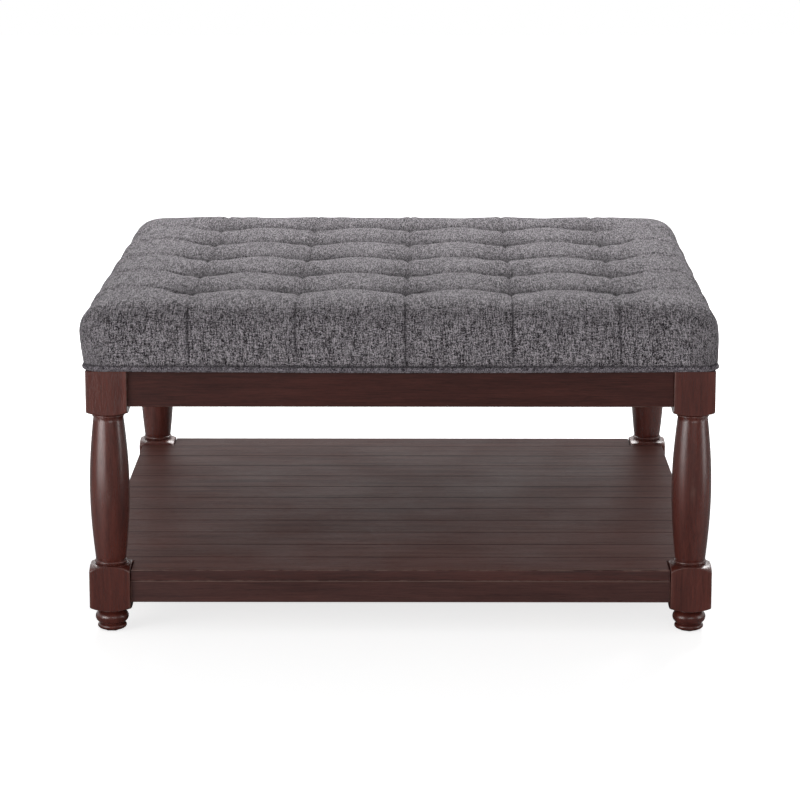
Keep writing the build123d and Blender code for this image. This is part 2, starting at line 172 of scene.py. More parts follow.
def makeWearGroup():
    # Edges marked from the mesh's own mark and its sharpness, broken up by a noise: rubbed wear, and where a
    # wood lightens them, partly a painted highlight
    inputs = {"Coordinate": "Vector", "Sharpness": "Float", "Patchy": "Float"}
    group, given, made = newGroup("edgeWear", inputs, {"Mask": "Float"})
    mark = addNode(group, "Attribute", attribute_name="worn").outputs["Fac"]
    point = addNode(group, "NewGeometry").outputs["Pointiness"]
    edge = times(group, remap(group, point, 0.515, 0.56), given.outputs["Sharpness"])
    both = doMath(group, "MAXIMUM", mark, edge)
    patch = remap(group, noise(group, given.outputs["Coordinate"], 38.0, 4.0, 0.7), 0.38, 0.66)
    gone = times(group, doMath(group, "SUBTRACT", 1.0, patch), given.outputs["Patchy"])
    bare = doMath(group, "SUBTRACT", 1.0, gone)
    group.links.new(times(group, both, bare, True), made.inputs["Mask"])
    return group


def lot(group, a, b):
    # Random value from 0 to 1 for each pair of numbers
    pair = addNode(group, "CombineXYZ", {0: a, 1: b}).outputs[0]
    return addNode(group, "TexWhiteNoise", {"Vector": pair}).outputs["Value"]


def threadTone(group, thread, run, length, seed):
    # Tone of a slubby thread, which changes every so often along its run
    start = times(group, lot(group, thread, seed), 9.0)
    part = doMath(group, "FLOOR", plus(group, doMath(group, "DIVIDE", run, length), start))
    return lot(group, thread, plus(group, part, seed))


def makeWeaveGroup():
    # Plain weave of slubby two-tone threads. The coordinate lies along the cloth, in metres
    inputs = {"Coordinate": "Vector", "Pitch": "Float", "Dark": "Color", "Light": "Color"}
    group, given, made = newGroup("heatherWeave", inputs, {"Color": "Color", "Height": "Float"})
    at = given.outputs["Coordinate"]
    split = addNode(group, "SeparateXYZ", {0: at})
    u = doMath(group, "DIVIDE", split.outputs["X"], given.outputs["Pitch"])
    v = doMath(group, "DIVIDE", split.outputs["Y"], given.outputs["Pitch"])
    column, row = doMath(group, "FLOOR", u), doMath(group, "FLOOR", v)
    warp = threadTone(group, column, v, 8.0, 0.37)
    weft = threadTone(group, row, u, 6.0, 0.71)
    half = doMath(group, "FRACT", times(group, plus(group, column, row), 0.5))
    over = doMath(group, "GREATER_THAN", half, 0.25)
    across, along = [doMath(group, "SINE", times(group, run, math.pi)) for run in (u, v)]
    crown = doMath(group, "ABSOLUTE", mixValue(group, over, across, along))
    thread = mixValue(group, remap(group, over, 0.0, 1.0, 0.1, 0.75), warp, weft)
    speck = lot(group, column, row)
    patch = remap(group, noise(group, stretch(group, at, 55.0, 24.0, 1.0), 1.0, 3.0, 0.6), 0.3, 0.7)
    # The crown term lightens the top of each thread: painted light on the threads' roundness
    tone = times(group, thread, 0.46)
    for part, weight in ((speck, 0.44), (patch, 0.04), (crown, 0.06)):
        tone = plus(group, tone, times(group, part, weight))
    tone = doMath(group, "POWER", remap(group, tone, 0.3, 0.74), 1.7)  # few light threads, many dark
    color = mixColor(group, tone, given.outputs["Dark"], given.outputs["Light"])
    height = plus(group, times(group, thread, 0.4), crown)
    setSockets(group, made, {"Color": color, "Height": height})
    return group


grainGroup = makeGrainGroup()
wearGroup = makeWearGroup()
weaveGroup = makeWeaveGroup()


def objectCoordinate(tree, turn="X"):
    # Place on the piece, with the grain's direction brought to X
    at = addNode(tree, "TexCoord").outputs["Object"]
    if turn == "X":
        return at
    split = addNode(tree, "SeparateXYZ", {0: at}).outputs
    order = {"Y": ("Y", "X", "Z"), "Z": ("Z", "Y", "X")}[turn]
    return addNode(tree, "CombineXYZ", {i: split[k] for i, k in enumerate(order)}).outputs[0]


def addBump(tree, shader, height, strength, distance):
    bump = addNode(tree, "Bump", {"Height": height, "Strength": strength, "Distance": distance})
    tree.links.new(bump.outputs["Normal"], shader.inputs["Normal"])


def stainedWood(name, turn, dark, light, worn, rough=0.42, figure=0.9, sharpness=0.0, gloss=0.3, coat=0.0,
                patchy=1.0, rubbed=0.55, relief=0.0002):
    # Stained wood with its grain along the axis named by turn. The worn colour shows at rubbed edges, partly
    # as a painted highlight where it is lighter than the stain
    material, tree, shader = newMaterial(name, **{"Specular IOR Level": gloss, "Coat Weight": coat,
                                                  "Coat Roughness": 0.26})
    at = objectCoordinate(tree, turn)
    grain = placeGroup(tree, grainGroup, {"Coordinate": at, "Figure": figure, "Pores": 0.8})
    wear = placeGroup(tree, wearGroup, {"Coordinate": at, "Sharpness": sharpness, "Patchy": patchy})
    color = mixColor(tree, grain.outputs["Tone"], dark, light)
    color = mixColor(tree, times(tree, wear.outputs["Mask"], rubbed), color, worn)
    smudge = remap(tree, noise(tree, at, 9.0, 3.0), 0.3, 0.7, -0.05, 0.05)
    polish = remap(tree, grain.outputs["Tone"], 0.0, 1.0, rough + 0.05, rough)
    setSockets(tree, shader, {"Base Color": color, "Roughness": plus(tree, smudge, polish)})
    addBump(tree, shader, grain.outputs["Height"], 0.35, relief)
    return material


def wovenCloth(name, dark, light, pitch=0.00095, turn=0.0, depth=0.0005, shadeColor=None):
    # Pitch of the threads and depth of their relief in metres, and the colour of the painted shade in seams
    # and tufts
    material, tree, shader = newMaterial(name, **{"Roughness": 0.9, "Specular IOR Level": 0.12,
                                                  "Sheen Weight": 0.12, "Sheen Roughness": 0.5})
    at = addNode(tree, "Attribute", attribute_name="clothPlace").outputs["Vector"]
    if turn:
        at = addNode(tree, "VectorRotate", {"Vector": at, "Angle": turn},
                     rotation_type="Z_AXIS").outputs[0]
    weave = placeGroup(tree, weaveGroup, {"Coordinate": at, "Pitch": pitch, "Dark": dark, "Light": light})
    # Painted shade in the seams and tufts, marked on the mesh, darkens the weave's colour
    hollow = addNode(tree, "Attribute", attribute_name="hollow").outputs["Fac"]
    color = mixColor(tree, hollow, weave.outputs["Color"], shadeColor or dark)
    tree.links.new(color, shader.inputs["Base Color"])
    addBump(tree, shader, weave.outputs["Height"], 0.6, depth)
    return material


def plainWood(name, turn, dark, light):
    material, tree, shader = newMaterial(name, **{"Specular IOR Level": 0.3})
    at = objectCoordinate(tree, turn)
    grain = placeGroup(tree, grainGroup, {"Coordinate": at, "Figure": 1.2, "Pores": 0.5})
    tone = grain.outputs["Tone"]
    setSockets(tree, shader, {"Base Color": mixColor(tree, tone, dark, light),
                              "Roughness": remap(tree, tone, 0.0, 1.0, 0.75, 0.6)})
    addBump(tree, shader, grain.outputs["Height"], 0.5, 0.0003)
    return material


def speckled(name, dark, light, scale, rough, height=0.0002, **sockets):
    # Fine-grained surface such as zinc plate, nylon or foam
    material, tree, shader = newMaterial(name, **sockets)
    at = objectCoordinate(tree)
    fleck = remap(tree, noise(tree, at, scale, 5.0, 0.7), 0.35, 0.65)
    cloud = remap(tree, noise(tree, at, scale * 0.07, 3.0), 0.35, 0.65)
    tone = plus(tree, times(tree, fleck, 0.6), times(tree, cloud, 0.4))
    setSockets(tree, shader, {"Base Color": mixColor(tree, tone, dark, light),
                              "Roughness": remap(tree, tone, 0.0, 1.0, rough + 0.08, rough - 0.08)})
    addBump(tree, shader, fleck, 0.4, height)
    return material


# Light edge colour: rubbed wear, and partly a painted highlight on the eased edges and rings
stainWornHighlight = rgb(150, 122, 112)
legWood = stainedWood("legWood", "Z", rgb(74, 30, 24), rgb(122, 60, 49), stainWornHighlight, rough=0.25, figure=1.0,
                      sharpness=0.5, gloss=0.5, coat=0.6)
# Darker copy of the rail stain: painted shade on the front and back faces of the shelf boards, offsetting
# the lamp that lights the boards alone
edgeWoodShaded = stainedWood("edgeWoodShaded", "X", rgb(48, 22, 20), rgb(84, 46, 41), stainWornHighlight)
# Lighter than the other stains: painted light making up for the shade under the seat
shelfWoodLightened = stainedWood("shelfWoodLightened", "X", rgb(88, 42, 35), rgb(138, 82, 70), rgb(24, 14, 12), rough=0.43,
                        figure=1.1, gloss=0.5, patchy=0.0, rubbed=0.7, relief=0.0012)
railWood, lowWoodLightened, plain = {}, {}, {}
for turn in "XY":
    railWood[turn] = stainedWood("railWood" + turn, turn, rgb(56, 24, 20), rgb(95, 49, 42), stainWornHighlight)
    # A lighter copy of the rail stain: painted light for the shelf rails and the boards' side ends, which
    # get less light than the aprons
    lowWoodLightened[turn] = stainedWood("lowWoodLightened" + turn, turn, rgb(66, 34, 31), rgb(106, 64, 58), stainWornHighlight,
                                gloss=0.5, patchy=0.4)
    plain[turn] = plainWood("plainWood" + turn, turn, rgb(150, 112, 74), rgb(196, 160, 116))
plyWood = plainWood("plyWood", "X", rgb(176, 142, 98), rgb(214, 184, 140))
# The heather cloth's darkest colour is the painted shade in its seams and tufts
heather = wovenCloth("heatherCloth", rgb(38, 33, 37), rgb(217, 210, 216), shadeColor=rgb(40, 34, 40))
pipingCloth = wovenCloth("pipingCloth", rgb(54, 48, 54), rgb(199, 191, 199), turn=math.radians(45))
dustCloth = wovenCloth("dustCloth", rgb(16, 16, 18), rgb(49, 49, 52), pitch=0.0007, depth=0.0002)
zinc = speckled("zincSteel", rgb(140, 140, 136), rgb(205, 205, 198), 900.0, 0.38, Metallic=1.0)
nylon = speckled("glideNylon", rgb(30, 24, 22), rgb(48, 40, 37), 700.0, 0.5)
foam = speckled("cushionFoam", rgb(196, 184, 140), rgb(232, 222, 182), 1400.0, 0.9, 0.0006)
twine = speckled("tuftTwine", rgb(160, 148, 122), rgb(206, 196, 170), 1600.0, 0.8)
discPlastic = speckled("discPlastic", rgb(178, 178, 172), rgb(212, 212, 206), 500.0, 0.5)
print("materials made")


# Mesh building

def addObject(name, mesh, *materials):
    obj = bpy.data.objects.new(name, mesh)
    scene.collection.objects.link(obj)
    for material in materials:
        mesh.materials.append(material)
    return obj


def gridQuads(rows, columns, wrap=False):
    # Faces of a grid of points given row by row
    across = columns if wrap else columns - 1
    row, column = np.meshgrid(np.arange(rows - 1), np.arange(across), indexing="ij")
    nextColumn = (column + 1) % columns
    a, b = row * columns + column, row * columns + nextColumn
    return np.stack([a, b, b + columns, a + columns], -1).reshape(-1, 4)


def meshFrom(name, points, faces, sharp=None):
    mesh = bpy.data.meshes.new(name)
    mesh.from_pydata(np.asarray(points, float).tolist(), [], [list(map(int, f)) for f in faces])
    mesh.validate()
    mesh.shade_smooth()
    if sharp:  # degrees
        mesh.set_sharp_from_angle(angle=math.radians(sharp))
    return mesh


def markPoints(mesh, name, values):
    # Stores a value for each point, for the materials
    layer = mesh.attributes.new(name, "FLOAT", "POINT")
    layer.data.foreach_set("value", values.astype(np.float32))


def placeCloth(mesh, cloth):
    # Marks each point's place on the flat cloth, for the weave
    layer = mesh.attributes.new("clothPlace", "FLOAT_VECTOR", "POINT")
    layer.data.foreach_set("vector", (np.asarray(cloth) * mm).astype(np.float32).ravel())


def easedBlock(name, low, high, ease, material):
    # Bar with rounded edges, its rounded faces marked as worn
    bm, worn = newForm()
    bmesh.ops.create_cube(bm, size=1.0)
    for vert in bm.verts:
        for i in range(3):
            vert.co[i] = ((low[i] + high[i]) / 2 + vert.co[i] * (high[i] - low[i])) * mm
    return finishForm(name, bm, worn, bm.edges[:], ease, material)


def newForm():
    # Empty form with a mark for its rubbed faces
    bm = bmesh.new()
    return bm, bm.faces.layers.float.new("worn")


def finishForm(name, bm, worn, edges, ease, material):
    # Rounds the given edges, marks the rounded faces and makes the object
    mesh = bpy.data.meshes.new(name)
    made = bmesh.ops.bevel(bm, geom=edges, offset=ease * mm, segments=2, profile=0.5, affect="EDGES",
                           clamp_overlap=True)
    for face in made["faces"]:
        face[worn] = 1.0
    bmesh.ops.recalc_face_normals(bm, faces=bm.faces[:])
    bm.to_mesh(mesh)
    bm.free()
    mesh.shade_smooth()
    mesh.set_sharp_from_angle(angle=math.radians(60))
    obj = addObject(name, mesh, material)
    flat = obj.modifiers.new("FlatFaces", "WEIGHTED_NORMAL")
    flat.weight = 100
    flat.keep_sharp = True
    return applyModifiers(obj)


def applyModifiers(obj):
    shaped = obj.evaluated_get(bpy.context.evaluated_depsgraph_get())
    mesh = bpy.data.meshes.new_from_object(shaped)
    obj.modifiers.clear()
    obj.data = mesh
    return obj


# Turned legs

leg = {
    "axis": 398.0,  # of each leg, from the middle, in X and Y
    "block": 28.0,  # half of the square blocks
    "ease": 1.3,  # rounding of the blocks' upright edges
    "wear": 1.3,  # width of the rubbed line where the turning meets a block
    "columns": 28,  # of the mesh in each quarter, beside those round the edge
    "soften": 0.35,  # where the turning runs out on the flats
    "lowBlock": (39.2, 86.5),  # heights between which a block is square
    "highBlock": (313.4, 366.9),
    "rings": (98.0, 303.0),
    "barrel": (100.9, 300.1),
    "neck": 20.6,  # radius of the barrel's ends
    "swell": 6.6,  # how much larger the radius of its middle is
    "top": 367.5,
}


def arcPoints(middle, size, start, end, count):
    # Quarter or part of an ellipse in the leg's section, as (radius, height)
    turns = np.radians(np.linspace(start, end, count))
    return [(middle[0] + size[0] * math.cos(t), middle[1] + size[1] * math.sin(t)) for t in turns]


def shoulder(neck, corner, count=18):
    # Rounded shoulder between a neck and the corners of a block, from the lower end up
    reach, rise = (corner[0] - neck[0]) / 0.97, (corner[1] - neck[1]) / 0.757
    start = math.acos(0.97)  # the curve ends here, a little short of upright
    points = []
    for i in range(count + 1):
        turn = start + (math.pi / 2 - start) * i / count
        points.append((neck[0] + reach * math.cos(turn), neck[1] + rise * (1 - math.sin(turn))))
    return points if neck[1] > corner[1] else points[::-1]


def ringPoints(middle, way):
    # Ring between a block and the barrel, with a quirk on either side. way is 1 where the barrel is above
    blockSide = [(20.3, -2.5), (20.2, -2.2), (20.6, -2.0)]
    barrelSide = [(20.7, 2.05), (20.2, 2.3), (20.3, 2.6)]
    section = blockSide + arcPoints((20.2, 0.0), (2.1, 2.0), -78, 78, 10) + barrelSide
    return [(radius, middle + way * rise) for radius, rise in section[::way]]


def legSection():
    # Section of a leg from its foot up, as (radius, height)
    corner = leg["block"] * math.sqrt(2)
    beyond = corner + 4  # outside the block, which cuts the section there
    points = [(0.01, 1.5), (8.0, 1.5)]
    points += arcPoints((12.6, 6.6), (7.4, 5.1), -90, 0, 10)  # disc
    points += arcPoints((16.9, 6.6), (3.1, 2.9), 6, 78, 8)
    points += [(17.15, 9.6), (16.7, 9.8), (16.7, 10.15), (17.3, 10.35)]  # quirk under the bun
    points += arcPoints((12.6, 19.2), (10.2, 9.3), -62, 66, 22)  # bun
    points += [(16.5, 28.0), (16.4, 28.5), (17.6, 28.7), (18.3, 29.1), (18.5, 29.7), (18.2, 30.3)]
    low, high = leg["lowBlock"]
    points += shoulder((17.8, 30.8), (corner, low - 0.2))
    points += [(beyond, low + (high - low) * i / 14) for i in range(15)]
    points += shoulder((20.9, high + 8.7), (corner, high + 0.1))
    points += ringPoints(leg["rings"][0], 1)
    low, high = leg["barrel"]
    for i in range(41):
        share = i / 40
        bulge = leg["swell"] * math.sin(math.pi * share) ** 0.93
        points.append((leg["neck"] + bulge, low + (high - low) * share))
    points += ringPoints(leg["rings"][1], -1)
    low, high = leg["highBlock"]
    points += shoulder((20.9, low - 7.6), (corner, low - 0.2))
    points += [(beyond, low + (high - low) * i / 12) for i in range(13)]
    top = leg["top"]
    return points + [(corner - 0.3, top - 0.2), (corner - 0.8, top), (8.0, top), (0.01, top)]


def squareReach(turn):
    # From a leg's axis to the outline of its square block, edges rounded
    half, ease = leg["block"], leg["ease"]
    t = abs((turn + math.pi / 4) % (math.pi / 2) - math.pi / 4)
    if half * math.tan(t) <= half - ease:
        return half / math.cos(t)
    middle = (half - ease) * math.sqrt(2)
    off = math.pi / 4 - t
    return middle * math.cos(off) + math.sqrt(max(ease ** 2 - (middle * math.sin(off)) ** 2, 0))


def softMin(a, b, blend):
    # The smaller of two values, with a soft change between them
    share = np.clip(0.5 + 0.5 * (b - a) / blend, 0, 1)
    return b + (a - b) * share - blend * share * (1 - share)


def makeLeg(name, signs):
    start = math.atan(1 - leg["ease"] / leg["block"])
    edge = np.linspace(start, math.pi / 2 - start, 9)
    flat = np.linspace(math.pi / 2 - start, math.pi / 2 + start, leg["columns"] + 2)[1:-1]
    quarter = np.concatenate([edge, flat])
    turns = np.concatenate([quarter + k * math.pi / 2 for k in range(4)])
    reach = np.array([squareReach(t) for t in turns])
    upright = np.clip((reach - leg["block"] * 1.37) / 0.6, 0, 1)
    points, worn = [], []
    for radius, height in legSection():
        r = np.full(len(turns), radius)
        if radius > 10:  # not on the flat ends
            r = softMin(r, reach, leg["soften"])
        points.append(np.stack([r * np.cos(turns), r * np.sin(turns), np.full(len(turns), height)], -1))
        # Rubbed where the turning meets a block and at the blocks' upright edges, partly a painted highlight
        # there; the light line on the rings is a painted highlight
        meets = np.clip(1 - np.abs(radius - reach) / leg["wear"], 0, 1) * (radius < 39)
        ring = 0.8 * (radius < 24 and any(abs(height - h) < 0.5 for h in (29.3, *leg["rings"])))
        worn.append(np.clip(meets + upright * (radius > 38) * 0.7 + ring, 0, 1))
    rows = len(points)
    points = np.concatenate(points)
    points[:, 0] += signs[0] * leg["axis"]
    points[:, 1] += signs[1] * leg["axis"]
    columns = len(turns)
    faces = gridQuads(rows, columns, True).tolist()
    faces.append(list(range(columns))[::-1])
    faces.append(list(range((rows - 1) * columns, rows * columns)))
    mesh = meshFrom(name, points * mm, faces, 50)
    markPoints(mesh, "worn", np.concatenate(worn))
    obj = addObject(name, mesh, legWood)
    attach(obj, "root")
    return obj


for corner, signs in corners.items():
    turnedLeg = makeLeg("turned_leg_" + corner, signs)
    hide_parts("leg_" + corner)
print("legs made")


# Aprons and shelf rails

rails = {
    "face": 420.0,  # outer faces of aprons and shelf rails, from the middle
    "halfLength": 370.0,
    "ease": 1.3,
    "apron": {"thick": 20.0, "low": 317.5, "high": 367.5},
    "shelf_rail": {"thick": 18.0, "low": 43.6, "high": 74.2},
}

# The shelf rails take the lighter copy of the stain, as painted light
for kind, wood in (("apron", railWood), ("shelf_rail", lowWoodLightened)):
    sizes = rails[kind]
    face, inner, half = rails["face"], rails["face"] - sizes["thick"], rails["halfLength"]
    spans = {
        "front": ((-half, -face), (half, -inner), "X"),
        "rear": ((-half, inner), (half, face), "X"),
        "left": ((-face, -half), (-inner, half), "Y"),
        "right": ((inner, -half), (face, half), "Y"),
    }
    for side, (low, high, turn) in spans.items():
        bottom, top = (*low, sizes["low"]), (*high, sizes["high"])
        bar = easedBlock(f"eased_{kind}_{side}", bottom, top, rails["ease"], wood[turn])
        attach(bar, "root")
        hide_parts(f"{kind}_{side}")
print("rails made")


# Shelf boards

shelf = {
    "half": 420.0,
    "low": 74.2,
    "top": 89.5,
    "pitch": 71.0,
    "count": 12,
    "bevel": 1.1,  # of the edges, which makes the V of each joint
    "notch": 369.0,  # inner corner of the room for a leg
}


def boardPlan(low, high):
    # Outline of a board seen from above, with room for the legs at its corners
    half, notch = shelf["half"], shelf["notch"]
    stops = [low, *(y for y in (-notch, notch) if low < y < high), high]
    right = []
    for start, end in zip(stops, stops[1:]):
        reach = half if abs(start + end) / 2 < notch else notch
        right += [(reach, start), (reach, end)]
    return right + [(-x, y) for x, y in right[::-1]]


def makeBoard(index):
    low = -shelf["half"] + index * shelf["pitch"]
    high = min(low + shelf["pitch"], shelf["half"])
    bm, worn = newForm()
    verts = [bm.verts.new((x * mm, y * mm, shelf["top"] * mm)) for x, y in boardPlan(low, high)]
    made = bmesh.ops.extrude_face_region(bm, geom=[bm.faces.new(verts)])
    for item in made["geom"]:
        if isinstance(item, bmesh.types.BMVert):
            item.co.z = shelf["low"] * mm
    edges = [e for e in bm.edges if abs(e.verts[0].co.z - e.verts[1].co.z) < 1e-6]
    board = finishForm(f"eased_board_{index + 1:02d}", bm, worn, edges, shelf["bevel"], shelfWoodLightened)
    # Darker copy of the stain for the front and back faces: painted shade
    board.data.materials.append(edgeWoodShaded)
    # Lighter copy of the stain for the side ends: painted light
    board.data.materials.append(lowWoodLightened["X"])
    outside = (shelf["half"] - shelf["bevel"]) * mm
    for face in board.data.polygons:
        if abs(face.center.y) > outside:
            face.material_index = 1
        elif abs(face.center.x) > outside:
            face.material_index = 2
    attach(board, "root")
    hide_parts(f"shelf_board_{index + 1:02d}")


for index in range(shelf["count"]):
    makeBoard(index)
print("shelf made")


# Tufted cushion

seat = {
    "columns": (-284.0, -139.0, 9.0, 154.0, 298.0),  # seams that run front to back, by X
    "columnCrease": (0.6, 0.7, 1.0, 1.3, 0.6),  # how sharply each of them is drawn in
    "rows": (-281.0, -137.0, 7.0, 152.0, 298.0),  # seams that run left to right, by Y
    "edge": 387.0,  # where the top turns over into the shoulder
    "half": 433.0,  # fullest part of the sides
    "base": 430.0,
    "sway": (-2.8, 4.7),  # of the upper part to the side, at the front and at the back
    "low": 367.7,
    "turnUnder": 376.5,  # where the sides turn in to the bottom
    "waist": 412.0,  # where the sides are fullest
    "top": 460.0,
    "cell": 72.0,  # half of a cell between seams
    "spread": 300.0,  # along a side, where the mesh lines start to spread towards the corner
    "tuftDepth": 20.5,
    "rowDepth": 6.5,  # of a seam half way between two tufts
    "columnDepth": 3.2,
    "runOut": (0.15, 40.0),  # what is left of a row's seam beyond the outermost tufts, and how far off
    "sidePull": 1.3,  # of the sides' seams inwards, broad and narrow
    "sideCrease": 1.3,
    "swell": 5.5,  # of the crowns, taken from the simulation
    "held": (0.86, 0.5),  # how firmly it holds the seams of the top and of the sides, 1 at a tuft
    "shade": (0.24, 0.6),  # painted shade on the cloth along a row's seam, and more at a tuft
    # painted shade in the seams down the sides
    "sideShade": 0.75,
    "corner": 44.0,  # radius at the waist and at the bottom
    "baseCorner": 29.0,
    "simulation": {  # of the cloth, by the names of its settings
        "quality": 5,
        "mass": 0.25,
        "tension_stiffness": 12,
        "compression_stiffness": 6,
        "shear_stiffness": 4,
        "bending_stiffness": 0.25,
        "shrink_min": -0.035,
        "use_pressure": True,
        "uniform_pressure_force": 4,
        "vertex_group_mass": "held",
        "pin_stiffness": 2,
    },
    "frames": 20,  # that it runs for
}


def ringPoint(half, radius, d):
    # Point on the +X side of a rounded square, at distance d from the side's middle, and its turn
    run = half - radius
    if d <= run:
        return half, d, 0.0
    turn = min((d - run) / radius, math.pi / 4)
    return run + radius * math.cos(turn), run + radius * math.sin(turn), turn


def ringDistance(half, radius, t):
    # Place round a ring for a line that meets the top's edge at t. Near the corners the lines spread out
    edge, free = seat["edge"], seat["spread"]
    length = half - radius + radius * math.pi / 4
    if t <= free:
        return t
    share = (t - free) / (edge - free)
    slope = (edge - free) / (length - free)
    eased = share * slope + (1 - slope) * share * share
    return free + (length - free) * min(eased, 1.0)


def sideLevels(fine):
    # Down the side from the top's edge: half size, corner radius, height, and length of cloth
    levels = []
    steps = 26 if fine else 7
    rise = seat["top"] - seat["waist"]
    out = seat["half"] - seat["edge"]
    for i in range(1, steps + 1):
        turn = math.radians(90 - 90 * i / steps)
        reach = out * math.cos(turn) ** 0.88
        radius = 1.0 + (seat["corner"] - 1.0) * reach / out
        levels.append((seat["edge"] + reach, radius, seat["waist"] + rise * math.sin(turn) ** 0.88))
    steps = 16 if fine else 5
    low = seat["turnUnder"]
    for i in range(1, steps + 1):
        share = i / steps
        half = seat["half"] - (seat["half"] - seat["base"]) * share ** 2
        radius = seat["corner"] + (seat["baseCorner"] - seat["corner"]) * share ** 1.5
        levels.append((half, radius, seat["waist"] - (seat["waist"] - low) * share))
    base, r = seat["base"], seat["baseCorner"]
    levels += [(base - 1.2, r - 1, 375.0), (base - 3.6, r - 3, 373.2), (base - 4.6, r - 4, 370.6),
               (base - 6.0, r - 5, 368.3), (base - 9.0, r - 7, seat["low"])]
    placed, length, here = [], 0.0, (seat["edge"], seat["top"])
    for half, radius, height in levels:
        length += math.hypot(half - here[0], height - here[1])
        here = (half, height)
        placed.append((half, radius, height, length))
    return placed


def seamedLines(seams, fine):
    # Mesh lines from edge to edge, with one on each seam, and closer beside it where fine
    beside = np.array([0, 0.9, 2.0, 3.4, 5.2, 7.6, 10.8, 15, 20.5, 27.5, 36, 46, 58])
    atEdge = np.array([0, 5, 11, 18, 26, 35])
    stops = [-seat["edge"], *seams, seat["edge"]]
    last = len(stops) - 2
    lines = []
    for i, (low, high) in enumerate(zip(stops, stops[1:])):
        if fine:
            near = beside[beside < (high - low) / 2 - 4]
            fromLow = near if i else atEdge
            fromHigh = near if i < last else atEdge
            part = np.concatenate([low + fromLow, [(low + high) / 2], (high - fromHigh)[::-1]])
        else:
            part = np.linspace(low, high, max(int(round((high - low) / 8.0)), 2) + 1)
        lines.append(part[:-1])
    return np.concatenate([*lines, [seat["edge"]]])


def fullness(places, seams, power):
    # 0 on a seam and 1 in the middle of a cell
    places = np.asarray(places, float)
    best = np.ones_like(places)
    for seam in seams:
        best = np.minimum(best, np.sin(np.clip(np.abs(places - seam) / seat["cell"], 0, 1) * math.pi / 2))
    return best ** power


def runOut(xs):
    # How much of a row's seam is left at each place, less beyond the outermost tufts
    xs = np.asarray(xs, float)
    past = np.maximum(np.maximum(seat["columns"][0] - xs, xs - seat["columns"][-1]), 0)
    left, length = seat["runOut"]
    return left + (1 - left) * np.exp(-(past / length) ** 2)


def rampUp(heights, start, length):
    # 0 up to the start and 1 from there on by the length
    return np.clip((heights - start) / length, 0, 1)


def topHeights(xs, ys):
    # Tufted top, a seam deepest at its tufts. The crowns are left low by the swelling still to come
    steepX, steepY = fullness(xs, seat["columns"], 0.5)[None, :], fullness(ys, seat["rows"], 0.6)[:, None]
    a, b = fullness(xs, seat["columns"], 0.9)[None, :], fullness(ys, seat["rows"], 1.0)[:, None]
    depth = seat["tuftDepth"] * (1 - a) * (1 - b)
    depth = depth + seat["columnDepth"] * (1 - steepX) * b
    depth = depth + seat["rowDepth"] * a * (1 - steepY) * runOut(xs)[None, :]
    return seat["top"] - depth - seat["swell"] * a * b


def seamsOf(side):
    # Seams that come down each side: front, right, rear, left
    return seat["rows" if side % 2 else "columns"]


def buildCushion(fine):
    # Points and faces of the cushion: top grid, then the ring of sides, then a flat bottom
    xs, ys = seamedLines(seat["columns"], fine), seamedLines(seat["rows"], fine)
    nx, ny = len(xs), len(ys)
    heights = topHeights(xs, ys)
    gx, gy = np.meshgrid(xs, ys)
    points = [np.stack([gx, gy, heights], -1).reshape(-1, 3)]
    cloth = [np.stack([gx, gy, gx * 0], -1).reshape(-1, 3)]
    index = np.arange(nx * ny).reshape(ny, nx)
    rim = np.concatenate([index[0, :-1], index[:-1, -1], index[-1, :0:-1], index[:0:-1, 0]])
    places = [(x, 0) for x in xs[:-1]] + [(y, 1) for y in ys[:-1]]
    places += [(x, 2) for x in xs[:0:-1]] + [(y, 3) for y in ys[:0:-1]]
    rimHeights = heights.reshape(-1)[rim]
    levels = sideLevels(fine)
    full = np.array([fullness([t], seamsOf(side), 0.5)[0] for t, side in places])
    for half, radius, height, length in levels:
        row, clothRow = [], []
        fade = rampUp(height, 376.0, 40.0)
        dropFade = max(0.0, (height - seat["waist"]) / (seat["top"] - seat["waist"]))
        for k, (t, side) in enumerate(places):
            d = ringDistance(half, radius, abs(t))
            outX, alongY, turn = ringPoint(half, radius, d)
            sign = 1 if t >= 0 else -1
            pulled = seat["sidePull"] * (1 - full[k]) * fade
            outX -= pulled * math.cos(turn)
            alongY -= pulled * math.sin(turn)
            run = half - radius
            if turn > 0:
                wide = seat["edge"] + length - run
                cx, cy = run + wide * math.cos(turn), run + wide * math.sin(turn)
            else:
                cx, cy = seat["edge"] + length, alongY
            drop = (seat["top"] - rimHeights[k]) * dropFade ** 2
            for store, u, v, w in ((row, outX, sign * alongY, height - drop), (clothRow, cx, sign * cy, 0)):
                store.append([(v, -u, w), (u, v, w), (v, u, w), (-u, v, w)][side])
        points.append(np.array(row))
        cloth.append(np.array(clothRow))
    points, cloth = np.concatenate(points), np.concatenate(cloth)
    count = len(rim)
    rings = np.concatenate([rim, nx * ny + np.arange(len(levels) * count)]).reshape(-1, count)
    nextOnes = np.roll(rings, -1, 1)
    sideFaces = np.stack([nextOnes[:-1], rings[:-1], rings[1:], nextOnes[1:]], -1).reshape(-1, 4)
    faces = gridQuads(ny, nx).tolist() + sideFaces.tolist() + [rings[-1].tolist()]
    heights, lengths = np.array(levels)[:, 2:].T
    along, sides = np.array(places).T
    return {"points": points, "cloth": cloth, "faces": faces, "xs": xs, "ys": ys, "heights": heights,
            "lengths": lengths, "along": along, "sides": sides, "rim": rim, "top": nx * ny, "ring": count}


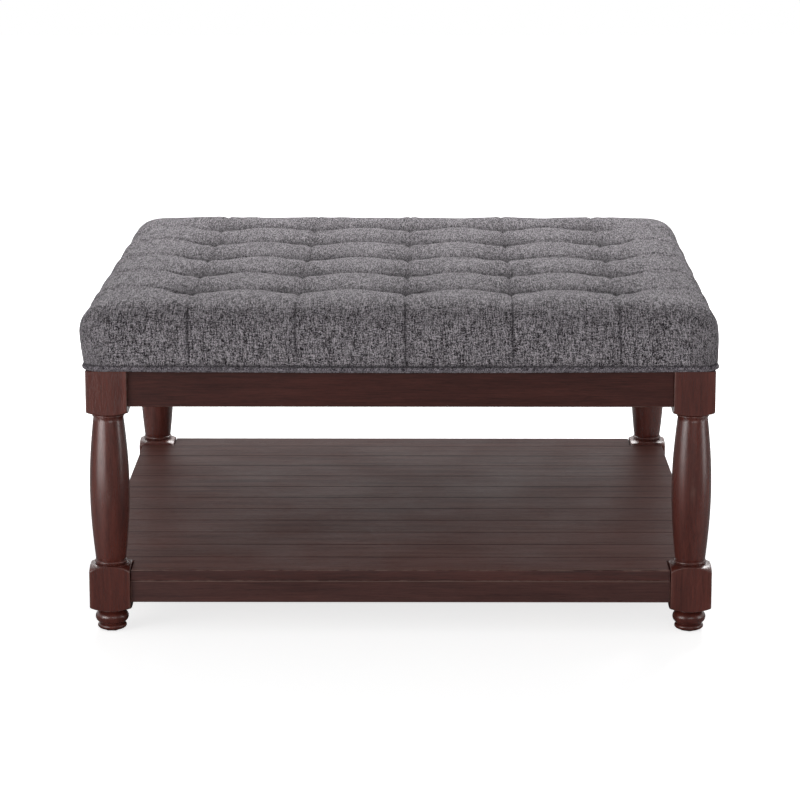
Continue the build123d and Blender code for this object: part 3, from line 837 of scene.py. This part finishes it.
def simulate(body):
    # Swells the coarse cushion by cloth simulation, held at the tufts, seams and bottom. Returns the moves
    points = body["points"]
    mesh = meshFrom("swelling", points * mm, body["faces"])
    obj = addObject("swelling", mesh)
    hold = np.zeros(len(points))
    a = np.isin(body["xs"], seat["columns"])
    b = np.isin(body["ys"], seat["rows"])
    onSeam = (a[None, :] * 1 + b[:, None] * 1).reshape(-1)
    hold[:body["top"]] = np.array([0.0, seat["held"][0], 1.0])[onSeam]
    ring = body["ring"]
    firstLow = int(np.argmax(body["heights"] < seat["turnUnder"] + 0.5))
    hold[body["top"] + firstLow * ring:] = 1.0
    seamColumn = np.array([t in seamsOf(side) for t, side in zip(body["along"], body["sides"])])
    for level in range(firstLow):
        rows = body["top"] + level * ring + np.arange(ring)
        hold[rows[seamColumn]] = seat["held"][1]
    group = obj.vertex_groups.new(name="held")
    for weight in np.unique(hold):
        if weight > 0:
            group.add([int(i) for i in np.nonzero(hold == weight)[0]], float(weight), "REPLACE")
    cloth = obj.modifiers.new("Cloth", "CLOTH")
    for name, value in seat["simulation"].items():
        setattr(cloth.settings, name, value)
    cloth.settings.effector_weights.gravity = 0
    cloth.collision_settings.use_collision = False
    cloth.point_cache.frame_start = 1
    cloth.point_cache.frame_end = seat["frames"]
    for frameNumber in range(1, seat["frames"] + 1):
        scene.frame_set(frameNumber)
    bpy.context.view_layer.update()
    shaped = obj.evaluated_get(bpy.context.evaluated_depsgraph_get())
    moved = np.zeros(len(points) * 3, np.float32)
    shaped.data.vertices.foreach_get("co", moved)
    moved = moved.reshape(-1, 3) / mm - points
    scene.frame_set(1)
    bpy.data.objects.remove(obj)
    bpy.data.meshes.remove(mesh)
    rise = float(np.sort(moved[:body["top"], 2])[-body["top"] // 8:].mean())
    print("simulated crowns rose by", round(rise, 1), "mm")
    return moved * seat["swell"] / max(rise, 1.0)


def cubicRows(known, values, wanted):
    # Catmull-Rom along the first axis, from values at the known places to the wanted places
    last = len(known) - 1
    i = np.clip(np.searchsorted(known, wanted, "right") - 1, 0, last - 1)
    t = ((wanted - known[i]) / (known[i + 1] - known[i]))[:, None, None]
    p0, p1 = values[np.maximum(i - 1, 0)], values[i]
    p2, p3 = values[i + 1], values[np.minimum(i + 2, last)]
    square, cube = 2 * p0 - 5 * p1 + 4 * p2 - p3, 3 * p1 - p0 - 3 * p2 + p3
    return 0.5 * (2 * p1 + (p2 - p0) * t + square * t ** 2 + cube * t ** 3)


def carryMoves(coarse, moves, fine):
    # The simulated moves, read at the fine mesh's points
    top = moves[:coarse["top"]].reshape(len(coarse["ys"]), len(coarse["xs"]), 3)
    rows = cubicRows(coarse["ys"], top, fine["ys"])
    grid = cubicRows(coarse["xs"], rows.transpose(1, 0, 2), fine["xs"]).transpose(1, 0, 2)
    out = np.zeros((len(fine["points"]), 3))
    out[:fine["top"]] = grid.reshape(-1, 3)

    def roundAt(body):
        # Running place round the rim, from the front left corner
        way = np.where(body["sides"] < 2, 1, -1)
        return (2 * body["sides"] + 1) * seat["edge"] + way * body["along"]

    rimMoves = moves[coarse["rim"]]
    sides = moves[coarse["top"]:].reshape(-1, coarse["ring"], 3)
    sides = np.concatenate([rimMoves[None], sides])
    lengths = np.concatenate([[0.0], coarse["lengths"]])
    levels = cubicRows(lengths, sides, np.minimum(fine["lengths"], lengths[-1]))
    known = roundAt(coarse)
    whole = 8 * seat["edge"]
    knownRound = np.concatenate([known[-3:] - whole, known, known[:3] + whole])
    values = np.concatenate([levels[:, -3:], levels, levels[:, :3]], 1).transpose(1, 0, 2)
    sideMoves = cubicRows(knownRound, values, roundAt(fine)).transpose(1, 0, 2)
    out[fine["top"]:] = sideMoves.reshape(-1, 3)
    return out


def addCreases(body, points):
    # Narrow seams, the gathers beside them and the folds that run out of each tuft
    draws = np.random.default_rng(7)
    top = points[:body["top"]].reshape(len(body["ys"]), len(body["xs"]), 3)
    xs, ys = np.meshgrid(body["xs"], body["ys"])
    drawn = [(seam, xs, ys, 1.1 * depth) for seam, depth in zip(seat["columns"], seat["columnCrease"])]
    drawn += [(seam, ys, xs, 2.0 * runOut(xs)) for seam in seat["rows"]]
    for seam, across, along, depth in drawn:
        gap = np.abs(across - seam)
        top[..., 2] -= depth * np.exp(-gap / 1.5)
        waves = [np.sin(2 * math.pi * along / draws.uniform(9, 26) + draws.uniform(0, 6)) for k in range(6)]
        top[..., 2] += 0.4 * sum(waves) / 3 * np.exp(-((gap - 5) / 6.5) ** 2)
    for cx in seat["columns"]:
        for cy in seat["rows"]:
            dx, dy = xs - cx, ys - cy
            reach = np.hypot(dx, dy)
            turn = np.arctan2(dy, dx)
            folds = [draws.uniform(0.5, 1.0) * np.cos(k * turn + draws.uniform(0, 6.3)) for k in (5, 8, 11)]
            shape = np.exp(-reach / draws.uniform(13, 19)) * np.clip(reach / 7, 0, 1)
            top[..., 2] += 0.5 * sum(folds) * shape
            upper = np.exp(-(dx / 2.2) ** 2) * np.clip(dy / 4, 0, 1) * np.exp(-np.maximum(dy, 0) / 20)
            top[..., 2] -= draws.uniform(0.3, 1.6) * upper
            top[..., 2] -= 1.5 * np.exp(-(reach / 4.0) ** 2)
    for k in range(6):
        wave = draws.uniform(0.15, 0.35) * np.sin(draws.uniform(0.02, 0.06) * xs + draws.uniform(0, 6))
        top[..., 2] += wave * np.sin(draws.uniform(0.02, 0.06) * ys + draws.uniform(0, 6))
    points[:body["top"]] = top.reshape(-1, 3)

    along, sides = body["along"], body["sides"]
    normals = np.array([(0, -1, 0), (1, 0, 0), (0, 1, 0), (-1, 0, 0)], float)[sides.astype(int)]
    lengths, heights = body["lengths"][:, None], body["heights"][:, None]
    move = np.zeros((len(lengths), len(along)))
    fade = rampUp(heights, 376.0, 46.0) ** 0.8
    for side in range(4):
        strengths = seat["columnCrease"] if side == 0 else (0.8,) * 5
        for n, (seam, strength) in enumerate(zip(seamsOf(side), strengths)):
            gap = np.abs(along - seam)[None, :] + 999.0 * (sides != side)[None, :]
            move -= seat["sideCrease"] * strength * fade * np.exp(-gap / 1.3)
            ripple = np.sin(lengths / 3.1 + n + side) + 0.6 * np.sin(lengths / 1.9 + 2 * n)
            move += 0.22 * fade * ripple * np.exp(-((gap - 5) / 6) ** 2)
    lean = rampUp(heights, seat["waist"], seat["top"] - seat["waist"])[..., None] ** 2
    ways = normals[None] * np.sqrt(1 - lean ** 2) + np.array([0, 0, 1.0]) * lean
    points[body["top"]:] += (move[..., None] * ways).reshape(-1, 3)
    return points


def seamShadeAmounts(body):
    # Painted shade at each point, in the seams and tufts, the side seams and where the sides turn under. The
    # shade is wider behind a row's seam than before it
    xs, ys = np.meshgrid(body["xs"], body["ys"])
    gap = np.abs(xs[..., None] - np.array(seat["columns"])).min(-1)
    past = ys[..., None] - np.array(seat["rows"])
    past = np.take_along_axis(past, np.abs(past).argmin(-1)[..., None], -1)[..., 0]
    row, tuft = seat["shade"]
    top = row * runOut(xs) * np.exp(-(past / np.where(past > 0, 19, 8)) ** 2)
    top += 0.12 * np.exp(-(gap / 5) ** 2)
    top += tuft * np.exp(-(past / np.where(past > 0, 27, 13)) ** 2 - (gap / 40) ** 2)
    out = np.zeros(len(body["points"]))
    out[:body["top"]] = np.clip(top, 0, 0.85).reshape(-1)
    ends = zip(body["along"], body["sides"])
    gap = np.array([np.abs(t - np.array(seamsOf(side))).min() for t, side in ends])
    heights = body["heights"][:, None]
    side = seat["sideShade"] * np.exp(-(gap / 1.6) ** 2)[None, :] * rampUp(heights, 372, 30)
    # Painted shade on the band where the sides turn under, above the piping
    under = 0.7 * np.clip((379.5 - heights) / 5, 0, 1)
    out[body["top"]:] = np.maximum(side, under).reshape(-1)
    return out


def makeCushion():
    fine = buildCushion(True)
    points = fine["points"].copy()
    coarse = buildCushion(False)
    points += carryMoves(coarse, simulate(coarse), fine)
    points = addCreases(fine, points)
    front, rear = seat["sway"]
    upper = rampUp(points[:, 2], 378, 40)
    points[:, 0] += upper * (front + (rear - front) * (points[:, 1] / seat["half"] + 1) / 2)
    mesh = meshFrom("tufted_cushion", points * mm, fine["faces"])
    placeCloth(mesh, fine["cloth"])
    # Painted shade for the cloth, darkest in seams and tufts
    markPoints(mesh, "hollow", seamShadeAmounts(fine))
    obj = addObject("tufted_cushion", mesh, heather)
    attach(obj, "root")
    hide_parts("seat_cover")
    return obj


cushion = makeCushion()
print("cushion made,", len(cushion.data.vertices), "points")


# Piping round the cushion's bottom edge

piping = {
    "radius": 3.75,
    "half": 428.25,  # of its middle line
    "corner": 26.0,
    "height": 371.55,
    "sag": 1.6,  # between the legs
    "steps": 1500,  # of the mesh, round the table and round the cord
    "sides": 14,
}


def makePiping():
    draws = np.random.default_rng(11)
    half, corner, radius = piping["half"], piping["corner"], piping["radius"]
    run, bend = half - corner, corner * math.pi / 2
    whole = 4 * (2 * run + bend)
    count, sides = piping["steps"], piping["sides"]
    phases = draws.uniform(0, 2 * math.pi, 8)
    points, cloth = [], []
    for i in range(count):
        s = whole * i / count
        part = s % (2 * run + bend)
        side = int(s // (2 * run + bend)) % 4
        if part <= 2 * run:
            x, y, turn = part - run, -half, 0.0
        else:
            turn = (part - 2 * run) / corner
            x, y = run + corner * math.sin(turn), -run - corner * math.cos(turn)
        angle = turn + side * math.pi / 2
        cosine, sine = math.cos(side * math.pi / 2), math.sin(side * math.pi / 2)
        x, y = x * cosine - y * sine, x * sine + y * cosine
        level = piping["height"]
        if part <= 2 * run:
            level -= piping["sag"] * math.cos(math.pi * (part - run) / (2 * run)) ** 1.3
        wander = sum(math.sin(2 * math.pi * (k + 3) * 3 * i / count + p) for k, p in enumerate(phases)) / 8
        level += 0.35 * wander
        size = radius * (1 + 0.02 * math.sin(s / 5.3) + 0.015 * math.sin(s / 3.1 + 1))
        out = (math.sin(angle), -math.cos(angle))
        for k in range(sides):
            turnRound = 2 * math.pi * k / sides
            reach = size * math.cos(turnRound)
            points.append((x + out[0] * reach, y + out[1] * reach, level + size * math.sin(turnRound)))
            cloth.append((s, turnRound * radius, 0))
    faces = gridQuads(count + 1, sides, True)[:, ::-1] % (count * sides)
    mesh = meshFrom("bias_piping", np.array(points) * mm, faces)
    placeCloth(mesh, cloth)
    obj = addObject("bias_piping", mesh, pipingCloth)
    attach(obj, "root")
    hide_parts("seat_welt")
    return obj


makePiping()
print("piping made")


# Dust cloth under the seat

dust = {
    "height": 366.6,
    "thick": 0.5,
    "lines": 77,  # of the mesh, each way
    "room": 369.4,  # inner corner of the room for a leg
}


def makeDustCloth():
    draws = np.random.default_rng(5)
    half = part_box("dust_cover")[1][0] / mm
    room = dust["room"]
    lines = np.unique(np.concatenate([np.linspace(-half, half, dust["lines"]), [-room, room]]))
    xs, ys = np.meshgrid(lines, lines)
    wrinkle = np.zeros(xs.shape)
    for k in range(7):
        depth, slopeX, slopeY, start = draws.uniform((0.1, 0.01, -0.03, 0), (0.35, 0.05, 0.03, 6))
        wrinkle += depth * np.sin(slopeX * xs + slopeY * ys + start)
    inside = np.clip((half - np.maximum(np.abs(xs), np.abs(ys))) / 60, 0, 1)
    heights = dust["height"] + 0.25 * wrinkle * inside
    keep = (np.abs(xs) <= room + 0.01) | (np.abs(ys) <= room + 0.01)
    count = len(lines)
    quads = gridQuads(count, count)
    quads = quads[keep.reshape(-1)[quads].all(1)]
    used = np.unique(quads)
    number = np.full(count * count, -1)
    number[used] = np.arange(len(used))
    points = np.stack([xs, ys, heights], -1).reshape(-1, 3)[used]
    mesh = meshFrom("dust_cloth", points * mm, number[quads][:, ::-1])
    placeCloth(mesh, points * (1, 1, 0))
    obj = addObject("dust_cloth", mesh, dustCloth)
    solid = obj.modifiers.new("Thickness", "SOLIDIFY")
    solid.thickness = dust["thick"] * mm
    solid.offset = -1
    applyModifiers(obj)
    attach(obj, "root")
    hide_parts("dust_cover")


makeDustCloth()
print("dust cloth made")


# Finishes of the pieces kept from the frame

def finishNode(node, material):
    mesh = frame["nodes"][node].data
    mesh.materials.clear()
    mesh.materials.append(material)


finishes = (
    (plain["X"], ("rail_dowels", "seat_cleat_front", "seat_cleat_rear")),
    (plain["Y"], ("shelf_batten_left", "shelf_batten_right", "seat_cleat_left", "seat_cleat_right")),
    (plyWood, ("deck_panel",)),
    (foam, ("foam_slab",)),
    (twine, ("tuft_ties",)),
    (discPlastic, ("tie_discs",)),
    (nylon, ("floor_glides",)),
    (zinc, ("hanger_bolts", "hanger_nuts", "hanger_washers", "plate_screws", "cleat_screws", "seat_screws")),
    (zinc, [kind + corner for kind in ("apron_plate_", "shelf_plate_") for corner in corners]),
)
for material, nodes in finishes:
    for node in nodes:
        finishNode(node, material)
print("kept pieces finished")


# Studio

camera = {
    "place": (0.0151, -4.5015, 1.1729),
    "pitch": 11.704,  # degrees down
    "yaw": 0.22,  # degrees to the left
    "lens": 138.6,  # mm, on a sensor 36 mm wide
}

light = {
    "ambient": 0.22,  # of the surroundings, on the object
    "mirrored": 0.6,  # of the surroundings at the sides and back, in reflections
    "dim": 0.06,  # of those in front, where the camera stands
    "floorTone": 0.86,
    "floorMirrored": 0.3,  # tone of the floor in reflections
    "floorGlow": (0.76, 1.0),  # of the floor, to the camera alone: near the table, and far away
    "glowRange": (0.8, 2.0),  # from the middle of the table
}

lamps = {  # place, aim, size and power
    "topSoftbox": ((0.2, 2.2, 2.3), (0, 0, 0.4), (2.6, 1.6), 92.0),
    "keySoftbox": ((-3.7, -3.3, 1.25), (0, 0, 0.3), (2.3, 2.2), 50.0),
    "fillSoftbox": ((0.9, -4.2, 1.2), (0, 0, 0.2), (2.4, 1.0), 18.0),
    "boardSoftbox": ((0, -4.0, 0.95), (0, 0, 0.1), (2.4, 0.6), 34.0),  # on the shelf boards alone
    "leftCard": ((-1.15, -1.15, 0.27), (0, 0, 0.3), (1.0, 0.54), 4.6),  # seen in reflections alone
    "rightCard": ((1.6, -0.7, 0.3), (0, 0, 0.3), (0.5, 0.6), 2.6),
}


def areaLight(name, place, aim, size, power):
    data = bpy.data.lights.new(name, "AREA")
    data.shape = "RECTANGLE"
    data.size, data.size_y = size
    data.energy = power
    obj = bpy.data.objects.new(name, data)
    scene.collection.objects.link(obj)
    obj.location = place
    obj.rotation_euler = (Vector(aim) - Vector(place)).to_track_quat("-Z", "Y").to_euler()
    return obj


def linkLight(lamp, pieces, state):
    # Keeps a light off the given pieces, or on them alone
    group = bpy.data.collections.new(lamp.name + "Pieces")
    for piece in pieces:
        group.objects.link(piece)
    lamp.light_linking.receiver_collection = group
    for item in group.collection_objects:
        item.light_linking.link_state = state


def makeStudio():
    world = bpy.data.worlds.new("studio")
    scene.world = world
    world.use_nodes = True
    tree = world.node_tree
    back = tree.nodes["Background"]
    back.inputs["Color"].default_value = (1, 1, 1, 1)
    path = addNode(tree, "LightPath").outputs
    seen = doMath(tree, "MAXIMUM", path["Is Camera Ray"], path["Is Transmission Ray"])
    around = addNode(tree, "TexCoord").outputs["Generated"]
    around = addNode(tree, "SeparateXYZ", {0: around}).outputs["Y"]
    around = remap(tree, around, -0.75, 0.1, light["dim"], light["mirrored"])
    lit = mixValue(tree, path["Is Glossy Ray"], light["ambient"], around)
    tree.links.new(mixValue(tree, seen, lit, 1.0), back.inputs["Strength"])

    floorMesh = meshFrom("floor", [(-9, -9, 0), (9, -9, 0), (9, 9, 0), (-9, 9, 0)], [(0, 1, 2, 3)])
    material, tree, shader = newMaterial("paleFloor", **{"Roughness": 0.9, "Specular IOR Level": 0.0})
    path = addNode(tree, "LightPath").outputs
    tones = [(light[key],) * 3 + (1,) for key in ("floorTone", "floorMirrored")]
    tint = mixColor(tree, path["Is Glossy Ray"], *tones)
    tree.links.new(tint, shader.inputs["Base Color"])
    place = addNode(tree, "NewGeometry").outputs["Position"]
    far = addNode(tree, "VectorMath", {0: place}, operation="LENGTH").outputs["Value"]
    bright = remap(tree, far, *light["glowRange"], *light["floorGlow"])
    glow = addNode(tree, "Emission", {"Color": (1, 1, 1, 1), "Strength": bright})
    both = addNode(tree, "AddShader", {0: shader.outputs[0], 1: glow.outputs[0]})
    pick = addNode(tree, "MixShader", {0: path["Is Camera Ray"], 1: shader.outputs[0], 2: both.outputs[0]})
    clear = addNode(tree, "BsdfTransparent")
    below = addNode(tree, "NewGeometry").outputs["Backfacing"]
    final = addNode(tree, "MixShader", {0: below, 1: pick.outputs[0], 2: clear.outputs[0]})
    tree.links.new(final.outputs[0], tree.nodes["Material Output"].inputs["Surface"])
    floor = addObject("floor", floorMesh, material)

    boards = [obj for obj in scene.objects if obj.name.startswith("eased_board")]
    placed = {name: areaLight(name, *values) for name, values in lamps.items()}
    linkLight(placed["topSoftbox"], boards, "EXCLUDE")
    linkLight(placed["boardSoftbox"], boards, "INCLUDE")
    for name in ("leftCard", "rightCard"):
        placed[name].visible_camera = False
        placed[name].visible_diffuse = False

    data = bpy.data.cameras.new("camera")
    data.lens = camera["lens"]
    data.sensor_width = 36
    data.clip_end = 60
    view = bpy.data.objects.new("camera", data)
    scene.collection.objects.link(view)
    view.location = camera["place"]
    view.rotation_euler = (math.radians(90 - camera["pitch"]), 0, math.radians(camera["yaw"]))
    scene.camera = view
    scene.view_settings.view_transform = "Standard"


makeStudio()
print("studio made")
